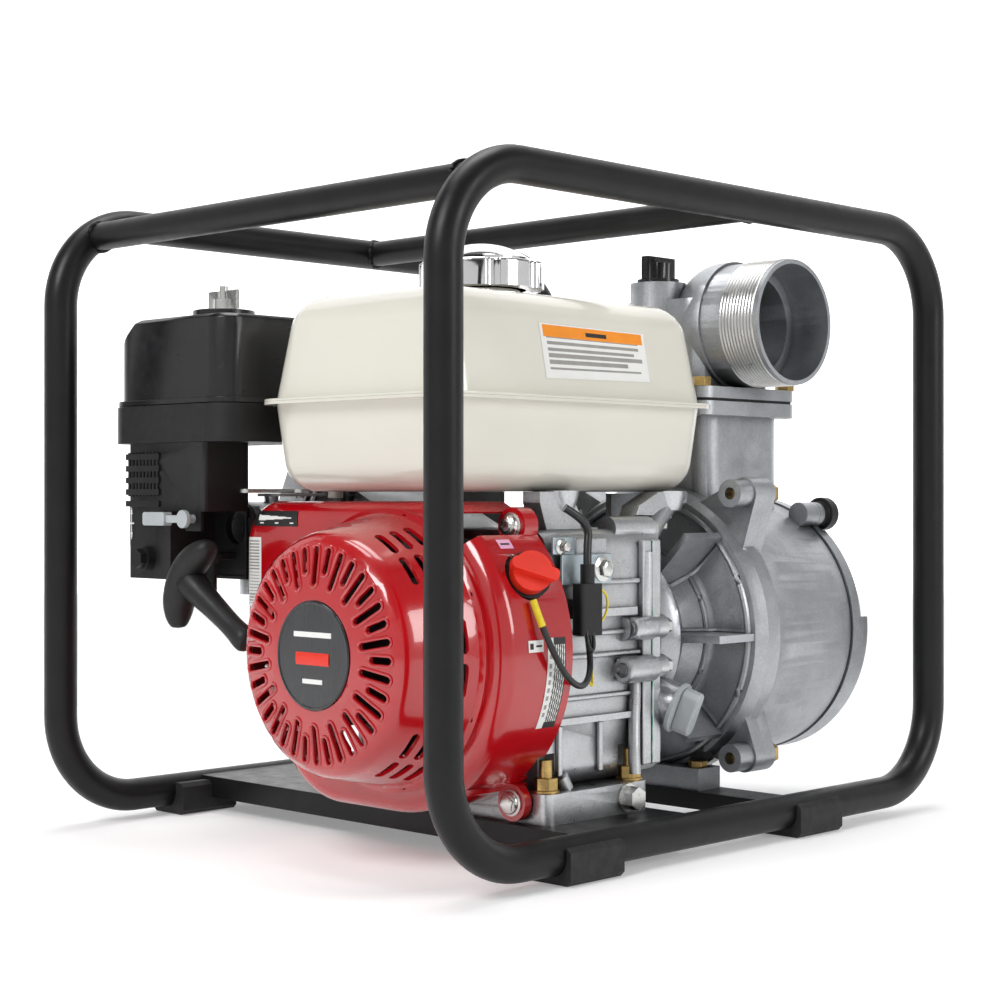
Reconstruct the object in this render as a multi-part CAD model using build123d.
"""Engine-driven trash pump: petrol engine, self-priming pump and tubular carrying frame.

Millimetres. Origin on the ground under the middle of the frame. +X runs along the crank axis
from the recoil starter to the suction port, -Y is the side of the discharge port, +Z is up.
"""
import math
import os
from build123d import *

# ---------------------------------------------------------------- driving dimensions
TUBE_D = 22.2                 # side loop tube, 7/8 inch
TUBE_WALL = 2.0
LOOP_Y = 187.5                # centre plane of each side loop
LOOP_X = 247.0                # centreline of the upright legs
LOOP_Z0 = 16.0                # centreline of the bottom run
LOOP_Z1 = 416.0               # centreline of the top run
LOOP_BEND = 60.0
BAR_D = 19.0                  # top crossbars
FRONT_BAR = (-221.4, 405.0)   # X, Z, on the bend
REAR_BAR = (37.0, 416.0)
PLATE_TOP = 25.0              # deck of the engine plate

CRANK_Y = -67.0
CRANK_Z = 131.0
CYL_X = -64.0                 # plane of the cylinder axis
CYL_TILT = 25.0               # cylinder leans this much above +Y
CRANK_THROW = 22.5
ROD_LENGTH = 84.0
BORE_R = 34.0
DECK = 150.0                  # crank axis to head joint
SPIGOT_R = 47.0               # register between the side cover and the pump adapter
RUN = 0.05                    # radial running clearance

FAN_X0, FAN_X1 = -178.0, -119.0       # front plane and rear edge of the fan cover
RECOIL_FACE_X = -238.0
TANK_X = (-192.0, 63.5)
TANK_Y = (-132.0, 39.0)
TANK_CORNER = 24.0
TANK_SEAM_Z = 287.0
TANK_TOP_Z = 362.0
TANK_BOTTOM_Z = 229.0
CAP_XY = (-62.0, -34.0)

PORT_R = 43.95                # 3 inch pipe thread, major radius
PORT_BORE = 37.0
DISCHARGE = (129.0, -153.0, 348.0)    # centre of the discharge rim
SUCTION_X = 256.0             # plane of the suction rim

FLAP_PIVOT = (186.5, CRANK_Z + 52.0)  # X, Z of the valve's hinge pin

CRANK = (0, CRANK_Y, CRANK_Z)
OUT = "parts"


# ---------------------------------------------------------------- small helpers
def box(x, y, z):
    """Box from three (low, high) pairs."""
    size = [b - a for a, b in (x, y, z)]
    mid = [(a + b) / 2 for a, b in (x, y, z)]
    return Pos(*mid) * Box(*size)


def rounded(x, y, z, radius, axis=Axis.Z):
    """Box whose edges along one axis are rounded."""
    body = box(x, y, z)
    return fillet(body.edges().filter_by(axis), radius)


def rod(start, end, radius):
    """Cylinder between two points."""
    a, b = Vector(*start), Vector(*end)
    plane = Plane(origin=a, z_dir=b - a)
    return extrude(plane * Circle(radius), (b - a).length)


def pipe(start, end, outer, inner):
    """Tube between two points."""
    return rod(start, end, outer) - rod(start, end, inner)


def hex_prism(start, end, across):
    """Hexagonal bar between two points, given its size across flats."""
    a, b = Vector(*start), Vector(*end)
    plane = Plane(origin=a, z_dir=b - a)
    return extrude(plane * RegularPolygon(across / math.sqrt(3), 6), (b - a).length)


def crank_disc(x0, x1, radius):
    """Disc on the crank axis."""
    return rod((x0, CRANK_Y, CRANK_Z), (x1, CRANK_Y, CRANK_Z), radius)


def crank_ring(x0, x1, outer, inner):
    return crank_disc(x0, x1, outer) - crank_disc(x0, x1, inner)


def crank_polar(x, radius, degrees):
    """Point at an angle round the crank axis, 0 towards -Y, 90 up."""
    a = math.radians(degrees)
    return (x, CRANK_Y - radius * math.cos(a), CRANK_Z + radius * math.sin(a))


def turned(profile):
    """Solid of revolution about the crank axis from (x, radius) points."""
    points = [(x, CRANK_Y - r, CRANK_Z) for x, r in profile]
    face = make_face(Polyline(*points, close=True))
    return revolve(face, Axis((0, CRANK_Y, CRANK_Z), (1, 0, 0)), 360)


def along_cylinder(distance, x=CYL_X, across=0.0):
    """Point along the cylinder axis; across is measured square to it, upwards."""
    a = math.radians(CYL_TILT)
    return (x,
            CRANK_Y + distance * math.cos(a) - across * math.sin(a),
            CRANK_Z + distance * math.sin(a) + across * math.cos(a))


def cylinder_block(d0, d1, half_x, low, high):
    """Block in the cylinder's tilted axes: along it, half width in X, low and high across."""
    plane = Plane(origin=along_cylinder(d0, across=(low + high) / 2),
                  x_dir=(1, 0, 0),
                  z_dir=Vector(*along_cylinder(1)) - Vector(*along_cylinder(0)))
    return extrude(plane * Rectangle(2 * half_x, high - low), d1 - d0)


def joined(pieces):
    """Union of several solids."""
    total = pieces[0]
    for piece in pieces[1:]:
        total += piece
    return total


def save(node, shape):
    """Write one node: one solid, or a group of separate solids."""
    shape = Compound(children=list(shape)) if isinstance(shape, list) else shape
    export_step(shape, os.path.join(OUT, node + ".step"))


# ---------------------------------------------------------------- frame
def loop_solid(y, radius):
    """Closed rounded-rectangle tube in the XZ plane at one Y."""
    mid_z = (LOOP_Z0 + LOOP_Z1) / 2
    plane = Plane(origin=(0, y, mid_z), x_dir=(1, 0, 0), z_dir=(0, -1, 0))
    outline = plane * RectangleRounded(2 * LOOP_X, LOOP_Z1 - LOOP_Z0, LOOP_BEND)
    path = outline.wire()
    start = Plane(origin=path @ 0, z_dir=path % 0)
    return sweep(start * Circle(radius), path)


def side_loop(y):
    """Hollow loop; small vents towards the crossbars open its inside to the bar ends."""
    loop = loop_solid(y, TUBE_D / 2) - loop_solid(y, TUBE_D / 2 - TUBE_WALL)
    inward = -TUBE_D if y > 0 else TUBE_D
    for x, z in (FRONT_BAR, REAR_BAR):
        loop -= rod((x, y, z), (x, y + inward, z), 3.0)
    return loop


def between_loops(shape):
    """Trim a cross member so that it butts against both loops."""
    for side in (-1, 1):
        shape -= loop_solid(side * LOOP_Y, TUBE_D / 2)
    parts = sorted(shape.solids(), key=lambda s: s.volume)
    return parts[-1]


def top_crossbars():
    bars = []
    for x, z in (FRONT_BAR, REAR_BAR):
        bar = pipe((x, -LOOP_Y, z), (x, LOOP_Y, z), BAR_D / 2, BAR_D / 2 - TUBE_WALL)
        bars.append(between_loops(bar))
    return bars


def channel(x0, x1, depth, reach=LOOP_Y):
    """Inverted U of 3 mm plate across the frame."""
    wall = 3.0
    outer = box((x0, x1), (-reach, reach), (PLATE_TOP - depth, PLATE_TOP))
    inner = box((x0 + wall, x1 - wall), (-reach, reach), (PLATE_TOP - depth, PLATE_TOP - wall))
    return outer - inner


MOUNT_BOLTS = [(x, y) for x in (-114.5, -35.5) for y in (-141.5, 20.5)]


def engine_mount_plate():
    plate = channel(-133.0, -24.0, 15.0)
    for x, y in MOUNT_BOLTS:
        plate -= rod((x, y, 0), (x, y, PLATE_TOP + 1), 4.5)
    return between_loops(plate)


PUMP_BOLT_X, PUMP_BOLT_Y = 66.0, (-117.0, -17.0)


def rear_bottom_bar():
    bar = channel(51.0, 81.0, 12.0)
    for y in PUMP_BOLT_Y:
        bar -= rod((PUMP_BOLT_X, y, 0), (PUMP_BOLT_X, y, PLATE_TOP + 1), 4.5)
    return between_loops(bar)


def rubber_feet():
    """Four moulded blocks clipped round the bottom tubes."""
    feet = []
    for x in (-135.0, 91.5):
        for side in (-1, 1):
            y0, y1 = sorted((side * 167.5, side * 202.5))
            block = box((x - 24, x + 24), (y0, y1), (0, 22.5))
            block = chamfer(block.edges().filter_by(Axis.X), 3.0)
            tube = rod((x - 40, side * LOOP_Y, LOOP_Z0), (x + 40, side * LOOP_Y, LOOP_Z0), TUBE_D / 2)
            slot = box((x - 40, x + 40), sorted((side * 176.4, side * 198.6)), (LOOP_Z0, 30))
            foot = block - tube - slot - box((-133, -24), (-181, 181), (10, 30))
            foot -= box((51, 81), (-181, 181), (13, 30))
            feet.append(foot.solids().sort_by(SortBy.VOLUME)[-1])
    return feet


# ---------------------------------------------------------------- engine block
CASE_X = (-112.0, -16.0)
CASE_Y = (-140.0, 34.0)
CASE_Z = (PLATE_TOP, 212.0)
CAVITY_R = 50.0
CAVITY_X = (-98.0, CASE_X[1])
JOURNAL_R = 12.5
REAR_JOURNAL_R = 15.0
BOSS_POINTS = [(-140.0, 141.0), (-140.0, 115.0), (-128.0, 205.0), (-60.0, 214.0), (-118.0, 62.0)]


def crankcase():
    """Block, cylinder barrel and fins in one casting, open at the cover side."""
    body = rounded(CASE_X, CASE_Y, (44, 205), 14, Axis.X)
    foot = rounded((-124, -28), (-152, 40), (PLATE_TOP, 44), 6)
    barrel = cylinder_block(70, DECK, 44, -44, 44)
    fins = [cylinder_block(104 + 9 * i, 108 + 9 * i, 48, -54, 40) for i in range(5)]
    wall = cylinder_block(DECK - 8, DECK, 48, -50, 46)
    bosses = [rod((CASE_X[1] - 26, y, z), (CASE_X[1], y, z), 8) for y, z in BOSS_POINTS]
    rail = box((-108, -30), (-144, -138), (150, 155)) + box((-108, -30), (-144, -138), (84, 88))
    case = joined([body, foot, barrel, wall, rail] + fins + bosses)
    case -= crank_disc(CAVITY_X[0], CAVITY_X[1] + 1, CAVITY_R)
    case -= box((CAVITY_X[0], CAVITY_X[1] + 1), (-128, 22), (52, 118))
    case -= rod(along_cylinder(30), along_cylinder(DECK + 1), BORE_R)
    case -= crank_disc(CASE_X[0] - 20, CAVITY_X[0] + 1, JOURNAL_R + RUN)
    for x, y in MOUNT_BOLTS:
        case -= rod((x, y, 0), (x, y, 60), 4.5)
        case -= box((x - 9.5, x + 9.5), (y - 9.5, y + 9.5), (44, 67))
    for y, z in COVER_BOLTS:
        case -= rod((-130, y, z), (-114, y, z), 3.05)
    for x in DRAIN_X:
        case -= rod((x, -160, DRAIN_Z), (x, -138, DRAIN_Z), 5.0)
    return case.solids().sort_by(SortBy.VOLUME)[-1]


DRAIN_X = (-50.0,)
DRAIN_Z = 35.0
COVER_X = (-16.0, 12.0)


def crankcase_cover():
    """Side cover that carries the output journal and the pump flange."""
    plate = rounded((COVER_X[0], -2), (-140, 34), (46, 205), 14, Axis.X)
    hump = rounded((-2, COVER_X[1]), (-128, 6), (58, 200), 20, Axis.X)
    bosses = [rod((COVER_X[0], y, z), (-2, y, z), 8) for y, z in BOSS_POINTS]
    spigot = crank_disc(COVER_X[1], 24, SPIGOT_R)
    cover = joined([plate, hump, spigot] + bosses)
    cover -= crank_disc(COVER_X[0] - 1, 4, 46)
    cover -= crank_disc(0, 30, REAR_JOURNAL_R + RUN)
    filler = OIL_NECK
    neck = rod(filler[0], filler[1], 15)
    cover += neck
    cover -= rod(filler[0], filler[1], 8.1)
    cover -= box((COVER_X[0] - 20, COVER_X[0]), (-170, 60), (40, 220))
    for y, z in BOSS_POINTS:
        cover -= rod((-2, y, z), (COVER_X[1] + 8, y, z), 7.5)
    cover -= rod((GOVERNOR[0], 20, GOVERNOR[2]), (GOVERNOR[0], 40, GOVERNOR[2]), 3.05)
    return cover.solids().sort_by(SortBy.VOLUME)[-1]


OIL_NECK = ((-4.0, -118.0, 100.0), (6.0, -146.0, 88.0))


def oil_axis():
    a, b = (Vector(*p) for p in OIL_NECK)
    return (b - a).normalized()


def oil_filler_cap():
    """Dipstick plug with a finger grip."""
    out = oil_axis()
    rim = Vector(*OIL_NECK[1])
    plug = rod(rim - out * 8, rim, 7.8) + rod(rim + out * 0.3, rim + out * 3, 17) + rod(rim, rim + out, 7.8)
    side = out.cross(Vector(1, 0, 0)).normalized()
    grip_plane = Plane(origin=rim + out * 3, x_dir=side, z_dir=out)
    grip = extrude(grip_plane * RectangleRounded(30, 13, 5), 12)
    stick = rod(rim - out * 8, rim - out * 15, 2.0)
    return plug + fillet(grip.edges(), 1.5) + stick


def drain_bolts():
    bolts = []
    for x in DRAIN_X:
        washer = rod((x, -152, DRAIN_Z), (x, -153.5, DRAIN_Z), 9)
        head = hex_prism((x, -153.5, DRAIN_Z), (x, -162, DRAIN_Z), 13)
        bolts.append(washer + head + rod((x, -139, DRAIN_Z), (x, -153, DRAIN_Z), 5.0))
    return bolts


def mount_bolts():
    """Studs, nuts and washers that hold the engine to the plate."""
    bolts = []
    for x, y in MOUNT_BOLTS:
        stud = rod((x, y, PLATE_TOP - 9), (x, y, 64), 4.0)
        head = hex_prism((x, y, PLATE_TOP - 9), (x, y, PLATE_TOP - 3), 12)
        nut = hex_prism((x, y, 45.5), (x, y, 53), 13)
        washer = rod((x, y, 44), (x, y, 45.5), 8.5)
        bolts.append(stud + head + nut + washer)
    return bolts


def case_screws():
    """Socket screws round the side cover joint."""
    screws = []
    for y, z in BOSS_POINTS:
        head = hex_prism((-2, y, z), (5, y, z), 10)
        screws.append(head)
    return screws


# ---------------------------------------------------------------- cylinder head
def cylinder_head():
    head = cylinder_block(DECK, DECK + 42, 46, -46, 46)
    for i in range(4):
        head += cylinder_block(DECK + 4 + 9 * i, DECK + 8 + 9 * i, 48, -50, 50)
    head -= rod(along_cylinder(DECK - 1), along_cylinder(DECK + 8), 26)
    head -= rod(along_cylinder(DECK + 20), along_cylinder(DECK + 43), 16)
    intake = along_cylinder(DECK + 26)
    head += rod(intake, (-120, intake[1], intake[2]), 15.5)
    head += rod(intake, (-6, intake[1], intake[2]), 15.5)
    head -= rod(intake, (-121, intake[1], intake[2]), 11)
    head -= rod(intake, (-5, intake[1], intake[2]), 11)
    plug = SPARK_SEAT
    head -= rod(plug[0], plug[1], 7.0)
    return head.solids().sort_by(SortBy.VOLUME)[-1]


SPARK_SEAT = (along_cylinder(DECK + 4, across=4), along_cylinder(DECK + 30, across=56))
PORT_Y, PORT_Z = along_cylinder(DECK + 26)[1:]


def rocker_cover():
    """Pressed steel lid, hollow, closed against the head."""
    d0, d1 = DECK + 42, DECK + 66
    outer = cylinder_block(d0, d1, 40, -38, 38)
    flange = cylinder_block(d0, d0 + 2.5, 45, -43, 43)
    inner = cylinder_block(d0 - 1, d1 - 2, 38, -36, 36)
    cover = outer + flange - inner
    for x, s in ((-38, -38), (38, -38), (-38, 38), (38, 38)):
        cover += rod(along_cylinder(d0 + 2, CYL_X + x, s), along_cylinder(d0 + 8, CYL_X + x, s), 5.5)
    return cover


def spark_plug():
    a, b = (Vector(*p) for p in SPARK_SEAT)
    out = (b - a).normalized()
    thread = rod(a + out * 4, b - out * 1, 6.8)
    hexagon = hex_prism(b - out * 2, b + out * 8, 20.6)
    insulator = rod(b + out * 8, b + out * 30, 5.5)
    return thread + hexagon + insulator


def plug_cap():
    """Rubber boot over the insulator, bent towards the coil."""
    a, b = (Vector(*p) for p in SPARK_SEAT)
    out = (b - a).normalized()
    tip = b + out * 33
    boot = rod(b + out * 10, b + out * 40, 10.5) + rod(tip, tip + Vector(-22, 0, 0), 7.5)
    return boot - rod(b + out * 9, b + out * 30.2, 5.5)


def plug_lead_route():
    a, b = (Vector(*p) for p in SPARK_SEAT)
    tip = b + (b - a).normalized() * 33
    start = tip + Vector(-22, 0, 0)
    x, y, z = start
    return [(x, y, z), (x - 14, y, z), (x - 26, y - 3, z - 7), (-117.0, 63.0, 262.0),
            (-118.0, 53.0, 247.0), (-118.0, 45.0, 232.0), (-120.0, 42.0, 216.0),
            (-123.0, 41.0, 201.0), (-125.0, 40.0, 186.0)]


def tube_path(points, share=0.45):
    """Straight runs joined by tangent arcs as large as the runs allow."""
    radii = []
    for i in range(1, len(points) - 1):
        a, b, c = (Vector(*points[j]) for j in (i - 1, i, i + 1))
        turn = math.radians((b - a).get_angle(c - b))
        radii.append(share * min((b - a).length, (c - b).length) / math.tan(turn / 2))
    return FilletPolyline(*points, radius=radii), radii


def routed(name, points, radius):
    """Round tube along a route; prints the bend radii and its length."""
    path, radii = tube_path(points)
    tube = sweep(Plane(origin=path @ 0, z_dir=path % 0) * Circle(radius), path)
    length = path.length
    ratio = tube.volume / (math.pi * radius * radius * length)
    print(name, "length", round(length, 1), "volume ratio", round(ratio, 3),
          "radii", [round(r, 1) for r in radii])
    return tube


# ---------------------------------------------------------------- exhaust
MUFFLER_X = (-4.0, 74.0)
MUFFLER_Y = (76.0, 160.0)
MUFFLER_Z = (176.0, 268.0)


def muffler():
    shell = rounded(MUFFLER_X, MUFFLER_Y, MUFFLER_Z, 22, Axis.X)
    inner = rounded((MUFFLER_X[0] + 1.5, MUFFLER_X[1] - 1.5), (MUFFLER_Y[0] + 1.5, MUFFLER_Y[1] - 1.5),
                    (MUFFLER_Z[0] + 1.5, MUFFLER_Z[1] - 1.5), 20.5, Axis.X)
    outlet = ((40, 138, 255), (40, 138, 284))
    body = shell - inner
    body += rod(outlet[0], outlet[1], 11) - box((0, 80), (100, 175), (250, 266.5))
    body -= rod((40, 138, 240), (40, 138, 290), 9)
    body -= rod((MUFFLER_X[0] - 1, PORT_Y, PORT_Z), (MUFFLER_X[0] + 4, PORT_Y, PORT_Z), 11)
    return body.solids().sort_by(SortBy.VOLUME)[-1]


def exhaust_gasket():
    return pipe((-6, PORT_Y, PORT_Z), (MUFFLER_X[0], PORT_Y, PORT_Z), 19, 11)


def muffler_guard():
    """Perforated heat shield held off the muffler by four posts."""
    gap = 7.0
    x, y, z = MUFFLER_X, MUFFLER_Y, MUFFLER_Z
    outer = rounded((x[0] + 6, x[1] + gap), (y[0] + 8, y[1] + gap), (z[0] + 6, z[1] + gap), 20, Axis.X)
    inner = rounded((x[0] + 5, x[1] + gap - 1.2), (y[0] + 7, y[1] + gap - 1.2),
                    (z[0] + 5, z[1] + gap - 1.2), 19, Axis.X)
    guard = outer - inner
    guard -= box((x[0], x[1] + 20), (y[0], y[0] + 26), (z[0], z[1] + 20))
    guard -= rod((40, 138, 250), (40, 138, 300), 16)
    for i in range(5):
        for j in range(3):
            cy, cz = 112 + 10 * i, 196 + 25 * j
            guard -= rounded((70, 90), (cy - 3.5, cy + 3.5), (cz - 9, cz + 9), 3.4, Axis.X)
    posts = [rod((x[1], py, pz), (x[1] + gap - 1.2, py, pz), 4) for py in (104, 156) for pz in (184, 260)]
    return joined([guard] + posts)


# ---------------------------------------------------------------- fan cover and starter
def fan_outline(inset=0.0):
    """Outline of the fan cover: round at the starter, square towards the carburettor."""
    r = FAN_R
    top_y = CRANK_Y - math.sqrt(r * r - (FAN_TOP_Z - CRANK_Z) ** 2)
    arc = ThreePointArc((top_y, FAN_TOP_Z), (CRANK_Y - r, CRANK_Z), (CRANK_Y, CRANK_Z - r))
    lines = Polyline((CRANK_Y, CRANK_Z - r), (10, CRANK_Z - r), (FAN_SIDE_Y, 98),
                     (FAN_SIDE_Y, FAN_TOP_Z), (top_y, FAN_TOP_Z))
    face = make_face(arc + lines)
    for y, z, radius in ((10, CRANK_Z - r, 60), (FAN_SIDE_Y, 98, 60), (FAN_SIDE_Y, FAN_TOP_Z, 28),
                         (top_y, FAN_TOP_Z, 16)):
        corner = face.vertices().sort_by(lambda v: (v.X - y) ** 2 + (v.Y - z) ** 2)[0]
        face = fillet(corner, radius)
    if inset:
        face = offset(face, -inset)
    return Plane(origin=(FAN_X1, 0, 0), x_dir=(0, 1, 0), z_dir=(1, 0, 0)) * face


FAN_R = 101.0
FAN_TOP_Z = 223.0
FAN_SIDE_Y = 76.0


def fan_cover():
    """Deep drawn red shroud round the flywheel, with the recoil opening in its front."""
    depth = FAN_X1 - FAN_X0
    shell = extrude(fan_outline(), -depth)
    front = shell.faces().filter_by(Axis.X).sort_by(Axis.X)[0]
    shell = fillet(front.edges(), 11)
    hollow = extrude(fan_outline(1.5), -(depth - 1.5))
    front = hollow.faces().filter_by(Axis.X).sort_by(Axis.X)[0]
    hollow = fillet(front.edges(), 9.5)
    cover = shell - hollow
    for y, z in COVER_BOLTS:
        pocket = rod((FAN_X0 - 5, y, z), (-131, y, z), 11.5)
        cover -= pocket
        cover += rod((-131, y, z), (FAN_X1, y, z), 11.5)
    cover -= crank_disc(FAN_X0 - 5, FAN_X0 + 20, 79)
    for y, z in COVER_BOLTS:
        cover -= rod((-140, y, z), (FAN_X1 + 5, y, z), 3.2)
    seat = Vector(*SWITCH_SEAT)
    cover += (rod(seat - SWITCH_OUT * 20, seat, 13.5) & extrude(fan_outline(), FAN_X0 - FAN_X1)) + \
        rod(seat - SWITCH_OUT * 6, seat, 13.5)
    cover -= rod(seat, seat + SWITCH_OUT * 30, 16)
    cover -= rod(seat - SWITCH_OUT * 30, seat + SWITCH_OUT, 8.05)
    cover -= box((-125, FAN_X1 + 1), (-155, -130), (20, 67)) + box((-125, FAN_X1 + 1), (-156, 42), (20, 45))
    cover -= box((-125, FAN_X1 + 1), (8, 33), (20, 67))
    cover -= rod((-119.5, 43, 214), (-118.5, 43, 232), 4.4)
    return cover.solids().sort_by(SortBy.VOLUME)[-1]


COVER_BOLTS = [(-128.0, 208.0), (-128.0, 38.0), (58.0, 112.0)]
SWITCH_SEAT = (-146.0, -155.0, 178.0)
SWITCH_OUT = Vector(-0.42, -0.80, 0.30).normalized()
SLOT_GROUPS = 7
DRUM_SEAM = 23.5              # keeps the seam of the turned faces clear of every slot


def recoil_profile():
    """Outer line of the starter housing as (x, radius)."""
    line = [(FAN_X0, 88), (FAN_X0 - 2.5, 88), (FAN_X0 - 4.5, 84.5), (-190, 82.5), (-219, 76),
            (-227, 74), (-231.5, 71.5), (-234.6, 67.8), (RECOIL_FACE_X, 39.5), (RECOIL_FACE_X, 0)]
    return line


def recoil_cover():
    """Drum with radial slots in its face and rows of slots round its side."""
    wall = 2.0
    outer = recoil_profile()
    inner = [(x + wall, max(r - wall, 0)) for x, r in outer[2:]]
    line = [(FAN_X0, 88)] + outer[1:] + [(RECOIL_FACE_X + wall, 0)] + inner[-2::-1] + [(FAN_X0, 80.5)]
    drum = spun(turned(line), -DRUM_SEAM)
    recess = crank_disc(RECOIL_FACE_X - 1, RECOIL_FACE_X + 1.2, 33.2)
    drum += crank_disc(RECOIL_FACE_X + 0.5, RECOIL_FACE_X + wall + 2, 36)
    drum -= recess
    drum += crank_disc(RECOIL_FACE_X + wall, -214, 5.0)
    drum -= rod(ROPE_GUIDE[0], ROPE_GUIDE[1], 3.5)
    slots = []
    for i in range(36):
        r0 = 41.5 if i % 2 else 49.0
        angle = 10 * i
        plane = Plane(origin=crank_polar(RECOIL_FACE_X - 6, (r0 + 65.5) / 2, angle),
                      x_dir=(0, -math.cos(math.radians(angle)), math.sin(math.radians(angle))),
                      z_dir=(1, 0, 0))
        slots.append(extrude(plane * SlotOverall(65.5 - r0, 4.6), 14))
    drum = drum - slots
    drum -= side_slots()
    for i in range(SLOT_GROUPS):
        angle = 180 / SLOT_GROUPS + 360 / SLOT_GROUPS * i
        drum -= rod(crank_polar(FAN_X0 - 4, 84, angle), crank_polar(FAN_X0 + 1, 84, angle), 2.2)
    return drum.solids().sort_by(SortBy.VOLUME)[-1]


def side_slots():
    """Three rows of short slots round the drum, in groups between the bolt pockets."""
    slots = []
    for group in range(SLOT_GROUPS):
        for half in (-1, 1):
            angle = 360 / SLOT_GROUPS * group + 9.3 * half
            for row in range(3):
                x = -192.0 - 10.5 * row
                a = math.radians(angle)
                plane = Plane(origin=crank_polar(x, 60, angle),
                              x_dir=(0, math.sin(a), math.cos(a)),
                              z_dir=(0, -math.cos(a), math.sin(a)))
                slots.append(extrude(plane * SlotOverall(21, 5.6), 34))
    return slots


def recoil_badge():
    return crank_disc(RECOIL_FACE_X - 0.8, RECOIL_FACE_X + 1.2, 32.8)


ROPE_DIR = Vector(0, 0.84, 0.5425).normalized()
ROPE_START = Vector(-206.0, 5.0, 112.0)
ROPE_GUIDE = (ROPE_START, ROPE_START + ROPE_DIR * 30)
HANDLE_NECK = ROPE_START + ROPE_DIR * 34
HANDLE_MID = ROPE_START + ROPE_DIR * 99 + Vector(-5, 7, 6)
REEL_R = 36.0


def starter_reel():
    """Rope drum that turns on the post behind the badge."""
    reel = crank_ring(-213.5, -210.5, 42, 5.3) + crank_ring(-202.0, -199.0, 42, 5.3)
    reel += crank_ring(-210.5, -202.0, REEL_R, 5.3)
    return reel


def starter_rope():
    """Stretch of rope from the reel to the grip."""
    return rod(ROPE_START + ROPE_DIR * 2, HANDLE_NECK, 2.0)


def recoil_handle():
    """T-shaped rubber grip: a bowed bar on a tapered neck."""
    mid = HANDLE_MID
    along = Vector(0, -ROPE_DIR.Z, ROPE_DIR.Y)
    sections = [Plane(origin=HANDLE_NECK, z_dir=ROPE_DIR) * Circle(8),
                Plane(origin=mid - ROPE_DIR * 6, z_dir=ROPE_DIR) * Circle(10.5)]
    neck = loft(sections)
    ends = [mid + along * 30 - ROPE_DIR * 10, mid + along * 16 - ROPE_DIR * 1.5, mid + ROPE_DIR * 2,
            mid - along * 16 - ROPE_DIR * 1.5, mid - along * 30 - ROPE_DIR * 10]
    path = Spline(*ends)
    bar = sweep(Plane(origin=path @ 0, z_dir=path % 0) * Circle(11), path)
    bar = bar + Pos(*ends[0]) * Sphere(11) + Pos(*ends[-1]) * Sphere(11)
    grip = neck + bar
    return grip - rod(HANDLE_NECK - ROPE_DIR, HANDLE_NECK + ROPE_DIR * 4, 2.35)


def flywheel_fan():
    """Flywheel with cooling blades on its front face."""
    wheel = crank_ring(-150, -124, 70, 11 + RUN) - crank_ring(-146, -123, 60, 24)
    for i in range(16):
        blade = box((-166, -149), (CRANK_Y - 72, CRANK_Y - 44), (CRANK_Z - 1.3, CRANK_Z + 1.3))
        wheel += spun(blade, 22.5 * i)
    return wheel


def spun(shape, degrees):
    return shape.rotate(Axis(CRANK, (1, 0, 0)), degrees)


def starter_cup():
    cup = crank_ring(-172, -150, 30, 28) + crank_ring(-152, -150, 30, 8)
    for i in range(6):
        cup -= spun(box((-168, -158), (CRANK_Y - 40, CRANK_Y - 20), (CRANK_Z - 4, CRANK_Z + 4)), 60 * i)
    return cup


def flywheel_nut():
    return hex_prism((-152, CRANK_Y, CRANK_Z), (-163, CRANK_Y, CRANK_Z), 19) - crank_disc(-170, -150, 8)


def crankshaft():
    """Shaft, webs and pin; the throw points up the cylinder at rest."""
    pin_y, pin_z = along_cylinder(CRANK_THROW)[1:]
    shaft = crank_disc(-160, -104, 8) + crank_disc(-150, -104, 11) + crank_disc(-113, -84, JOURNAL_R)
    shaft += crank_disc(-44, 40, REAR_JOURNAL_R) + crank_disc(40, 122, 11)
    shaft += rod((-84, pin_y, pin_z), (-44, pin_y, pin_z), 15)
    for x0, x1 in ((-84, -74), (-54, -44)):
        web = crank_disc(x0, x1, 26) + rod((x0, pin_y, pin_z), (x1, pin_y, pin_z), 18)
        weight = crank_disc(x0, x1, 43) & box((x0, x1), (-200, CRANK_Y - 4), (0, 300))
        weight = weight.rotate(Axis(CRANK, (1, 0, 0)), CYL_TILT)
        shaft += web + weight
    return shaft


def connecting_rod():
    """Rod with split big end; its small end carries the piston pin."""
    big = along_cylinder(CRANK_THROW)
    small = along_cylinder(CRANK_THROW + ROD_LENGTH)
    x0, x1 = CYL_X - 9.5, CYL_X + 9.5
    body = rod((x0, *big[1:]), (x1, *big[1:]), 21)
    body += rod((x0, *small[1:]), (x1, *small[1:]), 9)
    beam = cylinder_block(CRANK_THROW + 15, CRANK_THROW + ROD_LENGTH - 5, 5, -7, 7)
    body += beam
    body -= rod((x0 - 1, *big[1:]), (x1 + 1, *big[1:]), 15 + RUN)
    body -= rod((x0 - 1, *small[1:]), (x1 + 1, *small[1:]), 6)
    return body


def piston_pin():
    small = along_cylinder(CRANK_THROW + ROD_LENGTH)
    return pipe((CYL_X - 15, *small[1:]), (CYL_X + 15, *small[1:]), 6, 3.5)


def piston():
    """Short-skirt piston at top dead centre."""
    outer = rod(along_cylinder(102), along_cylinder(DECK - 1), BORE_R)
    inner = rod(along_cylinder(101), along_cylinder(DECK - 10), 29.5)
    body = outer - inner
    for d in (128, 133, 138):
        body -= rod(along_cylinder(d), along_cylinder(d + 1.5), BORE_R + 1) - \
            rod(along_cylinder(d), along_cylinder(d + 1.5), BORE_R - 2)
    return body


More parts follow.
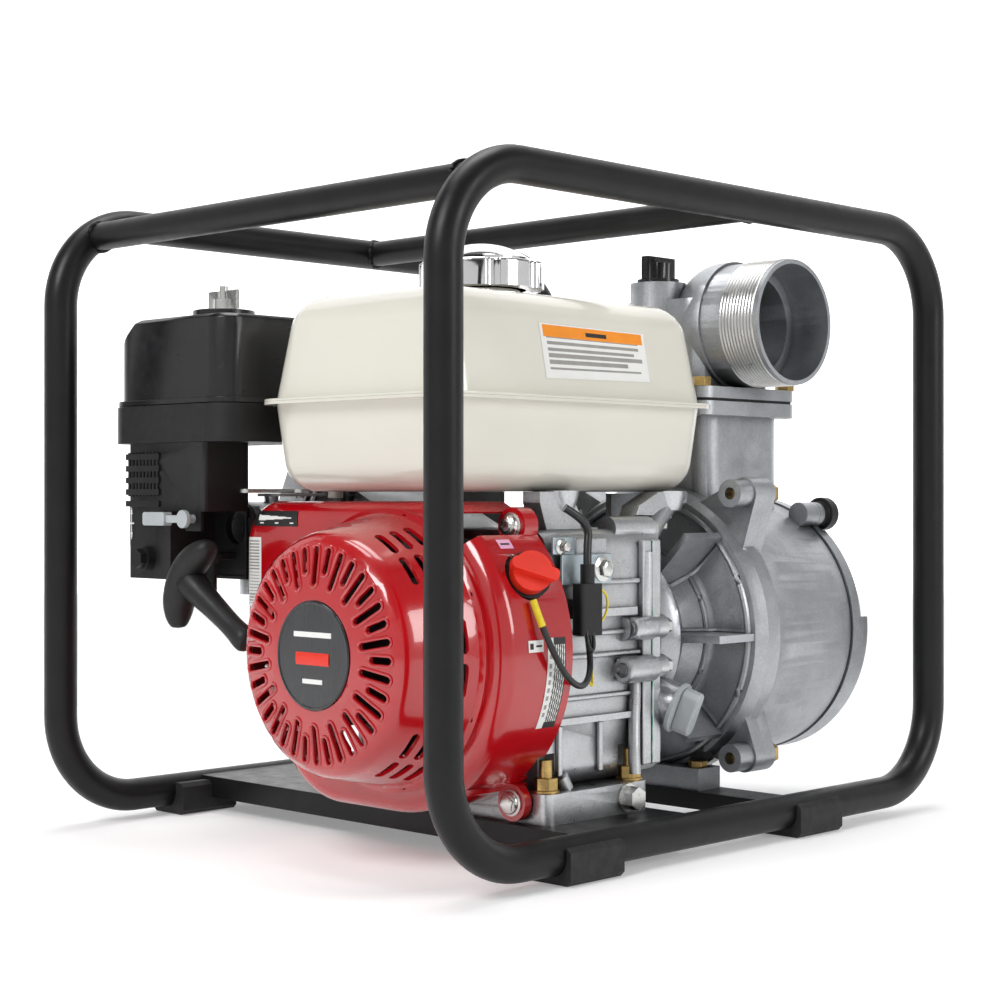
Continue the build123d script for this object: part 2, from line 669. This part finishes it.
# ---------------------------------------------------------------- fuel tank
def tank_half(z0, z1, taper, edge):
    """One pressed half between the seam and its flat."""
    cx, cy = sum(TANK_X) / 2, sum(TANK_Y) / 2
    size = (TANK_X[1] - TANK_X[0], TANK_Y[1] - TANK_Y[0])
    face = Plane(origin=(cx, cy, z0)) * RectangleRounded(*size, TANK_CORNER)
    solid = extrude(face, abs(z1 - z0), dir=(0, 0, 1 if z1 > z0 else -1), taper=taper)
    flat = solid.faces().sort_by(Axis.Z)[-1 if z1 > z0 else 0]
    return fillet(flat.edges(), edge)


def tank_flange(z0, z1):
    cx, cy = sum(TANK_X) / 2, sum(TANK_Y) / 2
    size = (TANK_X[1] - TANK_X[0] + 16, TANK_Y[1] - TANK_Y[0] + 16)
    return extrude(Plane(origin=(cx, cy, z0)) * RectangleRounded(*size, TANK_CORNER + 8), z1 - z0)


def inner_half(z0, z1, taper, edge):
    """Hollow of a half, one wall thickness smaller."""
    wall = 1.5
    cx, cy = sum(TANK_X) / 2, sum(TANK_Y) / 2
    size = (TANK_X[1] - TANK_X[0] - 2 * wall, TANK_Y[1] - TANK_Y[0] - 2 * wall)
    face = Plane(origin=(cx, cy, z0)) * RectangleRounded(*size, TANK_CORNER - wall)
    up = z1 > z0
    solid = extrude(face, abs(z1 - z0) - wall, dir=(0, 0, 1 if up else -1), taper=taper)
    flat = solid.faces().sort_by(Axis.Z)[-1 if up else 0]
    return fillet(flat.edges(), edge - wall)


def fuel_tank_upper():
    half = tank_half(TANK_SEAM_Z, TANK_TOP_Z - 6, 11, 24) + tank_flange(TANK_SEAM_Z, TANK_SEAM_Z + 1.8)
    neck = rod((*CAP_XY, TANK_TOP_Z - 12), (*CAP_XY, TANK_TOP_Z + 2), 26)
    half += neck
    half -= inner_half(TANK_SEAM_Z, TANK_TOP_Z - 6, 11, 24)
    half -= rod((*CAP_XY, TANK_SEAM_Z), (*CAP_XY, TANK_TOP_Z + 10), 24)
    return half.solids().sort_by(SortBy.VOLUME)[-1]


def fuel_tank_lower():
    half = tank_half(TANK_SEAM_Z, TANK_BOTTOM_Z, 8, 22) + tank_flange(TANK_SEAM_Z - 1.8, TANK_SEAM_Z)
    half -= inner_half(TANK_SEAM_Z, TANK_BOTTOM_Z, 8, 22)
    outlet = FUEL_OUTLET
    half += rod((outlet[0], outlet[1], TANK_BOTTOM_Z - 4), (outlet[0], outlet[1], TANK_BOTTOM_Z + 1), 5)
    half -= rod((outlet[0], outlet[1], TANK_BOTTOM_Z - 9), (outlet[0], outlet[1], TANK_BOTTOM_Z + 3), 3)
    return half.solids().sort_by(SortBy.VOLUME)[-1]


FUEL_OUTLET = (-150.0, 14.0)


def fuel_cap():
    """Chromed cap with finger lobes and a domed top."""
    base = TANK_TOP_Z + 2.4
    cx, cy = CAP_XY
    outline = Circle(42)
    for i in range(8):
        a = math.radians(45 * i + 10)
        outline -= Pos(44 * math.cos(a), 44 * math.sin(a)) * Circle(5)
    outline = fillet(outline.vertices(), 2.0)
    cap = extrude(Plane(origin=(cx, cy, base)) * outline, 18)
    cap = fillet(cap.edges().group_by(Axis.Z)[-1], 1.8)
    dome = Pos(cx, cy, base + 18 + 13 - 62) * Sphere(62)
    dome = dome & rod((cx, cy, base + 10), (cx, cy, base + 45), 35)
    cap = cap + dome
    cap -= rod((cx, cy, base - 1), (cx, cy, base + 12), 30)
    cap += rod((cx, cy, base - 8), (cx, cy, base + 12.5), 23.5)
    return cap


def tank_brackets():
    """Cast arms between the block and the tank underside."""
    xz_plane = Plane(origin=(0, -112, 0), x_dir=(1, 0, 0), z_dir=(0, -1, 0))
    front = Polyline((-98, 205), (-66, 205), (-66, 214), (-76, 229), (-104, 229), (-104, 222), close=True)
    rear = Polyline((-15, 206), (4, 206), (24, 218), (42, 222), (42, 229), (12, 229), (-8, 220), close=True)
    arms = [extrude(xz_plane * make_face(line), 15) for line in (front, rear)]
    screw_room = rod((-60, *BOSS_POINTS[2]), (10, *BOSS_POINTS[2]), 8.6)
    return [(arm - screw_room).solids().sort_by(SortBy.VOLUME)[-1] for arm in arms]


# ---------------------------------------------------------------- air cleaner and carburettor
AIR_X = (-213.0, -126.0)
AIR_Y = (52.0, 173.0)


def air_cleaner_cover():
    """Lid over the element: sloped corner and a raised pad for the wing nut."""
    outer = rounded(AIR_X, AIR_Y, (287.5, 346), 16)
    slope = make_face(Polyline((AIR_Y[1] - 26, 346), (AIR_Y[1] + 1, 346), (AIR_Y[1] + 1, 324), close=True))
    outer -= extrude(Plane(origin=(AIR_X[0] - 5, 0, 0), x_dir=(0, 1, 0), z_dir=(1, 0, 0)) * slope, 100)
    outer = chamfer(outer.faces().sort_by(Axis.Z)[-1].edges(), 2.5)
    lip = rounded((AIR_X[0] - 3, AIR_X[1] + 3), (AIR_Y[0] - 3, AIR_Y[1] + 3), (287.5, 291), 18)
    inner = rounded((AIR_X[0] + 2, AIR_X[1] - 2), (AIR_Y[0] + 2, AIR_Y[1] - 2), (286, 330), 14)
    pad = rod((*STUD_XY, 340), (*STUD_XY, 352), 21)
    cover = outer + lip - inner + pad
    cover -= rod((*STUD_XY, 280), (*STUD_XY, 360), 3.4)
    return cover.solids().sort_by(SortBy.VOLUME)[-1]


STUD_XY = (-172.0, 104.0)


def air_cleaner_base():
    """Tray, louvred snorkel box and the duct down to the carburettor."""
    tray = rounded((AIR_X[0] - 4, AIR_X[1] + 4), (AIR_Y[0] - 3.5, AIR_Y[1] + 3.5), (262, 287), 19)
    tray -= rounded((AIR_X[0] - 1, AIR_X[1] + 1), (AIR_Y[0] - 1, AIR_Y[1] + 1), (266, 288), 17)
    box_x, box_y = (-207.0, -168.0), (80.0, 166.0)
    snorkel = rounded(box_x, box_y, (170, 262.5), 4)
    snorkel -= box((box_x[0] + 2, box_x[1] - 2), (box_y[0] + 2, box_y[1] - 2), (172, 262))
    snorkel -= box((box_x[0] - 1, box_x[1] - 4), (box_y[0] - 1, 117), (168, 216))
    snorkel += box((box_x[0] + 1, box_x[1] - 2), (117, 119), (170, 217))
    snorkel += box((box_x[0] + 1, box_x[1] - 2), (box_y[0] + 1, 119), (216, 218))
    choke_y, choke_z = CHOKE_PIVOT[1:]
    snorkel += box((box_x[0], box_x[0] + 2.5), (choke_y - 8, choke_y + 8), (choke_z - 8, 217))
    snorkel -= rod((box_x[0] - 1, choke_y, choke_z), (box_x[0] + 3, choke_y, choke_z), 2.95)
    snorkel -= rod((box_x[1] - 3, *FUEL_PIVOT[1:]), (box_x[1] + 1, *FUEL_PIVOT[1:]), 3.0)
    for i in range(5):
        z = 219 + 8 * i
        snorkel += box((box_x[0] - 1.8, box_x[0] + 2), (128, box_y[1]), (z, z + 4))
    snorkel -= rod((-190, PORT_Y, PORT_Z), (-160, PORT_Y, PORT_Z), 12)
    collar = pipe((box_x[1] - 0.1, PORT_Y, PORT_Z), (CARB_X[0], PORT_Y, PORT_Z), 17, 12)
    base = tray + snorkel + collar
    base -= box((-190, -172), (84, 115), (250, 267))
    base += rod((*STUD_XY, 262), (*STUD_XY, 266), 8)
    base += rod((box_x[0] + 1, 141, 184), (box_x[0] - 6, 141, 184), 8)
    base += hex_prism((box_x[0] - 6, 141, 184), (box_x[0] - 11, 141, 184), 11)
    return base.solids().sort_by(SortBy.VOLUME)[-1]


def filter_element():
    pleat = rounded((AIR_X[0] + 12, AIR_X[1] - 12), (AIR_Y[0] + 12, AIR_Y[1] - 12), (266.2, 324), 12)
    return pleat - rod((*STUD_XY, 260), (*STUD_XY, 330), 16)


def cleaner_stud():
    return rod((*STUD_XY, 266), (*STUD_XY, 369), 3.0) + rod((*STUD_XY, 266), (*STUD_XY, 270), 7)


def wing_nut():
    nut = rod((*STUD_XY, 352.3), (*STUD_XY, 360), 7) - rod((*STUD_XY, 350), (*STUD_XY, 370), 3.08)
    cx, cy = STUD_XY
    for side in (-1, 1):
        wing = rounded((cx - 1.5, cx + 1.5), sorted((cy + side * 5, cy + side * 15)), (353, 366), 0.9, Axis.Y)
        nut += wing
    return nut


CARB_X = (-165.0, -128.0)


def intake_insulator():
    return pipe((-128, PORT_Y, PORT_Z), (-120, PORT_Y, PORT_Z), 17, 11)


def carburetor():
    """Body with its venturi, float bowl and mounting ears."""
    body = rod((CARB_X[0], PORT_Y, PORT_Z), (CARB_X[1], PORT_Y, PORT_Z), 17)
    body += rounded((-160, -134), (PORT_Y - 15, PORT_Y + 15), (PORT_Z - 22, PORT_Z + 14), 5)
    bowl = rod((-147, PORT_Y, PORT_Z - 46), (-147, PORT_Y, PORT_Z - 20), 16)
    body += bowl + hex_prism((-147, PORT_Y, PORT_Z - 52), (-147, PORT_Y, PORT_Z - 45), 10)
    body -= rod((CARB_X[0] - 1, PORT_Y, PORT_Z), (CARB_X[1] + 1, PORT_Y, PORT_Z), 11)
    body += rod((-140, PORT_Y, PORT_Z + 10), (-140, PORT_Y, PORT_Z + 22), 5)
    return body


def choke_lever():
    """Lever in front of the snorkel box with a pale finger tab."""
    x, y, z = CHOKE_PIVOT
    lever = rod((x, y, z), (x + 3, y, z), 6) + rod((x, y, z), (x + 13.5, y, z), 2.9)
    arm = box((x, x + 3), (y, y + 22), (z - 2.5, z + 2.5))
    tab = rounded((x - 2, x + 5), (y + 17, y + 41), (z - 4.5, z + 4.5), 2, Axis.X)
    return lever + arm + tab


CHOKE_PIVOT = (-216.5, 92.0, 211.0)
FUEL_PIVOT = (-190.0, 96.0, 186.0)


def fuel_valve_lever():
    x, y, z = FUEL_PIVOT
    lever = rod((x, y, z), (x + 4, y, z), 6) + rod((x, y, z), (x + 21, y, z), 2.95)
    return lever + rounded((x, x + 3), (y - 4, y + 4), (z - 24, z), 2, Axis.X)


def control_base():
    """Plate over the cylinder that carries the throttle lever and governor spring."""
    plate = box((-168, -112), (50, 73), (226, 228)) + box((-114, -112), (50, 73), (214, 228))
    return plate - rod((THROTTLE_XY[0], THROTTLE_XY[1], 200), (THROTTLE_XY[0], THROTTLE_XY[1], 230), 3.05)


THROTTLE_XY = (-140.0, 62.0)


def throttle_lever():
    x, y = THROTTLE_XY
    lever = rod((x, y, 228.3), (x, y, 231), 9) + rod((x, y, 225), (x, y, 231), 3.0)
    return lever + rounded((x - 50, x), (y - 4, y + 4), (228.3, 231), 3)


def governor_arm():
    x, y, z = GOVERNOR
    arm = rounded((x - 3.5, x + 3.5), (y - 1.2, y + 1.2), (z - 6, z + 58), 3, Axis.Y)
    return arm + rod((x, 26, z), (x, y + 2, z), 3.0)


GOVERNOR = (-8.5, 58.0, 150.0)


# ---------------------------------------------------------------- pump
CLAMP_POINTS = [(-150.0, 228.0), (-150.0, 49.0), (16.0, 228.0), (16.0, 49.0)]
KNOB_POINTS = [(CRANK_Y + y, CRANK_Z + z) for y, z in ((-57.0, 82.2), (57.0, 82.2), (99.6, -9.0))]
KNOB_SEAT_X = 196.0           # face of the cover's lugs under the hand knobs
HEAD_X = (84.0, 174.0)
HEAD_FLANGE_Z = (295.0, 303.0)
HEAD_BOLTS = [(x, y) for x in (80.0, 178.0) for y in (-109.0, -25.0)]
PRIMING_XY = (95.0, -58.0)


def radial_plate(degrees, x, r0, r1, thick):
    """Flat rib in a plane through the crank axis."""
    rib = box(x, (CRANK_Y - r1, CRANK_Y - r0), (CRANK_Z - thick / 2, CRANK_Z + thick / 2))
    return spun(rib, -degrees)


def clamp_ear(x0, x1, y, z, reach=0.7):
    """Tapered lug from the round rim out to one clamp point."""
    outer = Pos(y, z) * Circle(11)
    inner = Pos(CRANK_Y + reach * (y - CRANK_Y), CRANK_Z + reach * (z - CRANK_Z)) * Circle(26)
    face = make_hull(outer.edges() + inner.edges())
    return extrude(Plane(origin=(x0, 0, 0), x_dir=(0, 1, 0), z_dir=(1, 0, 0)) * face, x1 - x0)


def pump_adapter():
    """Ribbed bell between the engine's flange and the pump casing."""
    bell = turned([(24, 62), (30, 64), (34, 52), (50, 50), (62, 60), (66, 66), (68, 98), (76, 103),
                   (86, 103), (86, 20), (78, 20), (74, 40), (46, 40), (40, SPIGOT_R), (12, SPIGOT_R), (12, 62)])
    ribs = [radial_plate(a, (30, 80), 48, 97, 5) for a in (-90, -45, 0, 45, 90, 135, 180, 225)]
    arms = []
    for y, z in CLAMP_POINTS:
        start = 59 if y < CRANK_Y else 70
        arms += [rod((start, y, z), (86, y, z), 9.5), clamp_ear(74, 86, y, z)]
    bell = joined([bell] + arms + ribs)
    bell -= turned([(12, 0), (12, SPIGOT_R), (40, SPIGOT_R), (46, 40), (74, 40), (78, 20), (86, 20), (90, 20), (90, 0)])
    for y, z in CLAMP_POINTS:
        bell -= rod((50, y, z), (90, y, z), 4.2)
    foot = box((54, 78), (CRANK_Y - 60, CRANK_Y + 60), (PLATE_TOP, 40))
    bell += foot - crank_disc(50, 90, 62)
    for y in PUMP_BOLT_Y:
        bell -= rod((PUMP_BOLT_X, y, 20), (PUMP_BOLT_X, y, 60), 4.2)
        bell -= box((PUMP_BOLT_X - 8, PUMP_BOLT_X + 8), (y - 8, y + 8), (38, 50))
    return bell.solids().sort_by(SortBy.VOLUME)[-1]


def clamp_bolts():
    """Threaded studs with brass-coloured nuts that clamp casing to adapter."""
    bolts = []
    for y, z in CLAMP_POINTS:
        bolts.append(rod((66, y, z), (108, y, z), 4.2) + hex_prism((98, y, z), (105, y, z), 14))
    return bolts


def pump_foot_bolts():
    bolts = []
    for y in PUMP_BOLT_Y:
        shank = rod((PUMP_BOLT_X, y, 16), (PUMP_BOLT_X, y, 40), 4.0)
        bolts.append(shank + hex_prism((PUMP_BOLT_X, y, 38), (PUMP_BOLT_X, y, 44), 12)
                     + hex_prism((PUMP_BOLT_X, y, 15), (PUMP_BOLT_X, y, 22), 12))
    return bolts


def pump_casing():
    """Barrel with its delivery neck, clamp ears and studs for the clean-out cover."""
    barrel = turned([(86, 101), (92, 101), (96, 98), (188, 93), (190, 91), (190, 0), (86, 0)])
    neck = rounded((88, 176), (-108, -28), (180, 292), 14)
    flange = rounded((73, 185), (-117, -17), (283, 293), 12)
    ears = [clamp_ear(86, 96, y, z) for y, z in CLAMP_POINTS]
    ears += [rod((86, y, z), (98, y, z), 10) for y, z in CLAMP_POINTS]
    posts = [rod((174, y, z), (190, y, z), 8.5) for y, z in KNOB_POINTS]
    casing = joined([barrel, neck, flange] + ears + posts)
    casing -= turned([(85, 0), (85, 90), (184, 86), (186, 60), (191, 60), (191, 0)])
    casing -= rounded((95, 169), (-101, -35), (170, 294), 8)
    for y, z in CLAMP_POINTS:
        casing -= rod((80, y, z), (100, y, z), 4.2)
    for y, z in KNOB_POINTS:
        casing -= rod((178, y, z), (191, y, z), 4.0)
    casing -= rod((140, CRANK_Y, 20), (140, CRANK_Y, 60), 8)
    for x, y in HEAD_BOLTS:
        casing -= rod((x, y, 280), (x, y, 294), 3.4)
    return casing.solids().sort_by(SortBy.VOLUME)[-1]


def casing_drain_plug():
    plug = rod((140, CRANK_Y, 35), (140, CRANK_Y, 43), 8)
    return plug + hex_prism((140, CRANK_Y, 28), (140, CRANK_Y, 35), 17)


def suction_cover():
    """Clean-out cover with the threaded suction port."""
    plate = crank_disc(190.3, 200, 94)
    lower = crank_disc(198, 208, 94) - box((190, 215), (-200, 100), (139, 300))
    posts = [rod((190.3, y, z), (KNOB_SEAT_X, y, z), 8.5) for y, z in KNOB_POINTS]
    hub = turned([(198, 70), (206, 66), (214, 48), (217, 46), (217, 0), (198, 0)])
    port = crank_disc(212, SUCTION_X, PORT_R)
    x, z = FLAP_PIVOT
    lugs = [box((x - 3, 190.4), sorted((CRANK_Y + side * 12.5, CRANK_Y + side * 16)), (z - 3, z + 3))
            for side in (-1, 1)]
    cover = joined([plate, lower, hub, port] + posts + lugs)
    cover -= rod((x, CRANK_Y - 17, z), (x, CRANK_Y + 17, z), 2.0 + RUN)
    cover -= crank_disc(180, SUCTION_X + 1, PORT_BORE)
    cover -= crank_disc(232, SUCTION_X + 1, PORT_BORE + 2.5)
    for y, z in KNOB_POINTS:
        cover -= rod((189, y, z), (210, y, z), 4.4) + rod((KNOB_SEAT_X, y, z), (230, y, z), 13)
    return cover.solids().sort_by(SortBy.VOLUME)[-1]


def cover_studs():
    return [rod((179, y, z), (KNOB_SEAT_X + 15, y, z), 4.0) for y, z in KNOB_POINTS]


def cover_knobs():
    """Round hand nuts with a black grip ring."""
    knobs = []
    x = KNOB_SEAT_X + 0.3
    for y, z in KNOB_POINTS:
        knob = rod((x, y, z), (x + 4, y, z), 9) + rod((x + 4, y, z), (x + 12, y, z), 12)
        knob += rod((x + 12, y, z), (x + 18, y, z), 8)
        knobs.append(knob - rod((x - 1, y, z), (x + 16, y, z), 4.07))
    return knobs


def check_valve_flap():
    """Rubber flap that closes the suction port from inside."""
    x, z = FLAP_PIVOT
    flap = crank_disc(183.5, 189.5, 42.5)
    ears = box((183.5, 189.5), (CRANK_Y - 12, CRANK_Y + 12), (CRANK_Z + 36, z + 1.5))
    pin = rod((x, CRANK_Y - 16, z), (x, CRANK_Y + 16, z), 2.0)
    return flap + ears + pin


def inner_volute():
    """Cast ring round the impeller, open towards the delivery side."""
    ring = crank_ring(92, 132, 74, 62)
    ring -= box((98, 128), (CRANK_Y - 80, CRANK_Y - 5), (CRANK_Z + 20, CRANK_Z + 90))
    back = crank_ring(86, 92, 80, 30)
    front = crank_ring(132, 136, 74, 30)
    return joined([ring, back, front])


def impeller():
    """Open three-vane impeller for water with solids."""
    wheel = crank_ring(108, 113, 56, 11)
    hub = crank_disc(100, 126, 17) - crank_disc(99, 122, 11)
    for i in range(3):
        vane_path = [(CRANK_Y - 14, CRANK_Z), (CRANK_Y - 32, CRANK_Z + 12), (CRANK_Y - 54, CRANK_Z + 10)]
        line = Spline(*[(113, y, z) for y, z in vane_path])
        vane = extrude(Plane.YZ.offset(112) * make_face(vane_outline()), 15)
        wheel += spun(vane, 120 * i)
    return wheel + hub


def vane_outline():
    """Closed outline of one curved vane in the YZ plane."""
    y, z = CRANK_Y, CRANK_Z
    outer = ThreePointArc((y - 14, z - 3), (y - 34, z + 12), (y - 55, z + 4))
    tip = Line((y - 55, z + 4), (y - 54, z - 1.5))
    inner = ThreePointArc((y - 54, z - 1.5), (y - 34, z + 6), (y - 14, z - 9))
    root = Line((y - 14, z - 9), (y - 14, z - 3))
    return outer + tip + inner + root


def mechanical_seal():
    return crank_ring(78, 94, 19.9, 11 + RUN) + crank_ring(87, 91, 24, 18) - crank_disc(77, 95, 11 + RUN)


def discharge_gasket():
    gasket = rounded((74, 184), (-116, -18), (293, 295), 12)
    gasket -= rounded((95, 169), (-101, -35), (290, 297), 8)
    for x, y in HEAD_BOLTS:
        gasket -= rod((x, y, 290), (x, y, 297), 3.4)
    return gasket


def discharge_head():
    """Elbow from the casing neck to the threaded discharge port, with a priming boss."""
    px, py, pz = DISCHARGE
    flange = rounded((73, 185), (-117, -17), HEAD_FLANGE_Z, 12)
    body = rounded(HEAD_X, (-101, -33), (HEAD_FLANGE_Z[0], 366), 12)
    hood = rod((px, -104, pz), (px, -66, pz), 46)
    hood = fillet(hood.edges().sort_by(Axis.Y)[-1], 30)
    port = rod((px, -100, pz), (px, py, pz), PORT_R)
    boss = rod((*PRIMING_XY, 340), (*PRIMING_XY, 379), 20)
    head = joined([flange, body, hood, port, boss])
    head -= rod((px, py - 1, pz), (px, -52, pz), 34)
    head -= rod((px, py - 1, pz), (px, -122, pz), PORT_R - 3)
    head -= rounded((95, 167), (-93, -41), (HEAD_FLANGE_Z[0] - 1, 352), 8)
    head -= rod((*PRIMING_XY, 345), (*PRIMING_XY, 380), 12.05) + rod((*PRIMING_XY, 379), (*PRIMING_XY, 400), 18)
    for x, y in HEAD_BOLTS:
        head -= rod((x, y, 290), (x, y, 310), 3.4)
    return head.solids().sort_by(SortBy.VOLUME)[-1]


def head_bolts():
    bolts = []
    for x, y in HEAD_BOLTS:
        top = HEAD_FLANGE_Z[1]
        bolts.append(rod((x, y, 284), (x, y, top), 3.4) + hex_prism((x, y, top), (x, y, top + 6.5), 12))
    return bolts


def priming_plug():
    """Screw plug with a wing grip."""
    x, y = PRIMING_XY
    plug = rod((x, y, 366), (x, y, 379.3), 12) + rod((x, y, 379.3), (x, y, 382), 15)
    wing = rounded((x - 16, x + 16), (y - 4, y + 4), (382, 398), 3)
    return plug + rod((x, y, 382), (x, y, 394), 8) + wing


# ---------------------------------------------------------------- switch and small engine parts
def switch_body():
    seat, out = Vector(*SWITCH_SEAT), SWITCH_OUT
    body = rod(seat - out * 16, seat, 8.0) + rod(seat, seat + out * 4, 14.5)
    exit_point = Vector(*WIRE_ROUTE[0])
    nipple = rod(seat + out * 2, exit_point, 2.8) - rod(seat + out * 4, seat + out * 20, 14.9)
    return (body + nipple).solids().sort_by(SortBy.VOLUME)[-1]


def stop_switch_knob():
    """Red rotary knob with a raised bar."""
    seat, out = Vector(*SWITCH_SEAT), SWITCH_OUT
    knob = rod(seat + out * 4.3, seat + out * 13, 12.5)
    across = out.cross(Vector(0.4, 0, 1)).normalized()
    plane = Plane(origin=seat + out * 13, x_dir=across, z_dir=out)
    return knob + extrude(plane * RectangleRounded(30, 7.5, 3), 6)


WIRE_ROUTE = [(-152.0, -166.0, 164.5), (-150.5, -171.5, 150.0), (-143.5, -174.5, 133.5),
              (-132.0, -174.5, 118.0), (-116.0, -171.5, 110.0), (-101.0, -165.0, 114.0),
              (-92.5, -159.0, 126.0), (-90.0, -154.0, 140.0)]


def switch_wire():
    """Sleeved lead that hangs from the switch to the connector on the block."""
    return routed("switch_wire", WIRE_ROUTE, 2.0)


def wire_connector():
    """Connector block with its rubber boot, clipped to the side of the crankcase."""
    body = rounded((-100, -80), (-159, -149), (140, 172), 3)
    clip = box((-97, -83), (-149, CASE_Y[0] - 4), (150, 162))
    boot = rod((-90, -154, 172), (-90, -154, 184), 4.5)
    return body + clip + boot


def plug_lead():
    return routed("plug_lead", plug_lead_route(), 3.5)


def ignition_coil():
    """Coil beside the flywheel rim, on two pillars of the block."""
    coil = rounded((-132, -118), (30, 50), (150, 186), 3)
    return coil


def cover_screws():
    """Domed screws of the fan cover."""
    screws = []
    for y, z in COVER_BOLTS:
        head = rod((-131.0, y, z), (-135.5, y, z), 7)
        head = fillet(head.edges().sort_by(Axis.X)[0], 2.5)
        screws.append(head + rod((-131, y, z), (CASE_X[0] - 3, y, z), 3.0))
    return screws


NODES = {
    "left_loop": lambda: side_loop(LOOP_Y),
    "right_loop": lambda: side_loop(-LOOP_Y),
    "top_crossbars": top_crossbars,
    "base_plates": lambda: [engine_mount_plate(), rear_bottom_bar()],
    "rubber_feet": rubber_feet,
    "crankcase": crankcase,
    "crankcase_cover": crankcase_cover,
    "engine_screws": lambda: case_screws() + cover_screws(),
    "oil_filler_cap": oil_filler_cap,
    "drain_plugs": lambda: drain_bolts() + [casing_drain_plug()],
    "mount_bolts": mount_bolts,
    "cylinder_head": cylinder_head,
    "rocker_cover": rocker_cover,
    "spark_plug": spark_plug,
    "plug_cap": plug_cap,
    "plug_lead": plug_lead,
    "muffler": muffler,
    "muffler_guard": muffler_guard,
    "gaskets": lambda: [exhaust_gasket(), intake_insulator(), discharge_gasket()],
    "fan_cover": fan_cover,
    "recoil_cover": recoil_cover,
    "recoil_badge": recoil_badge,
    "starter_reel": starter_reel,
    "starter_rope": starter_rope,
    "recoil_handle": recoil_handle,
    "flywheel_fan": flywheel_fan,
    "starter_cup": lambda: [starter_cup(), flywheel_nut()],
    "crankshaft": crankshaft,
    "connecting_rod": lambda: [connecting_rod(), piston_pin()],
    "piston": piston,
    "fuel_tank_upper": fuel_tank_upper,
    "fuel_tank_lower": fuel_tank_lower,
    "fuel_cap": fuel_cap,
    "tank_brackets": lambda: tank_brackets() + [control_base()],
    "air_cleaner_cover": air_cleaner_cover,
    "air_cleaner_base": air_cleaner_base,
    "filter_element": filter_element,
    "wing_nut": wing_nut,
    "studs": lambda: [cleaner_stud()] + cover_studs(),
    "carburetor": carburetor,
    "choke_lever": choke_lever,
    "fuel_valve_lever": fuel_valve_lever,
    "throttle_lever": throttle_lever,
    "governor_arm": governor_arm,
    "pump_adapter": pump_adapter,
    "pump_fasteners": lambda: clamp_bolts() + pump_foot_bolts() + head_bolts(),
    "pump_casing": pump_casing,
    "suction_cover": suction_cover,
    "cover_knobs": cover_knobs,
    "check_valve_flap": check_valve_flap,
    "inner_volute": inner_volute,
    "impeller": impeller,
    "mechanical_seal": mechanical_seal,
    "discharge_head": discharge_head,
    "priming_plug": priming_plug,
    "switch_body": switch_body,
    "stop_switch_knob": stop_switch_knob,
    "switch_wire": switch_wire,
    "wire_connector": wire_connector,
    "ignition_coil": ignition_coil,
}


if __name__ == "__main__":
    os.makedirs(OUT, exist_ok=True)
    for node, make in NODES.items():
        save(node, make())
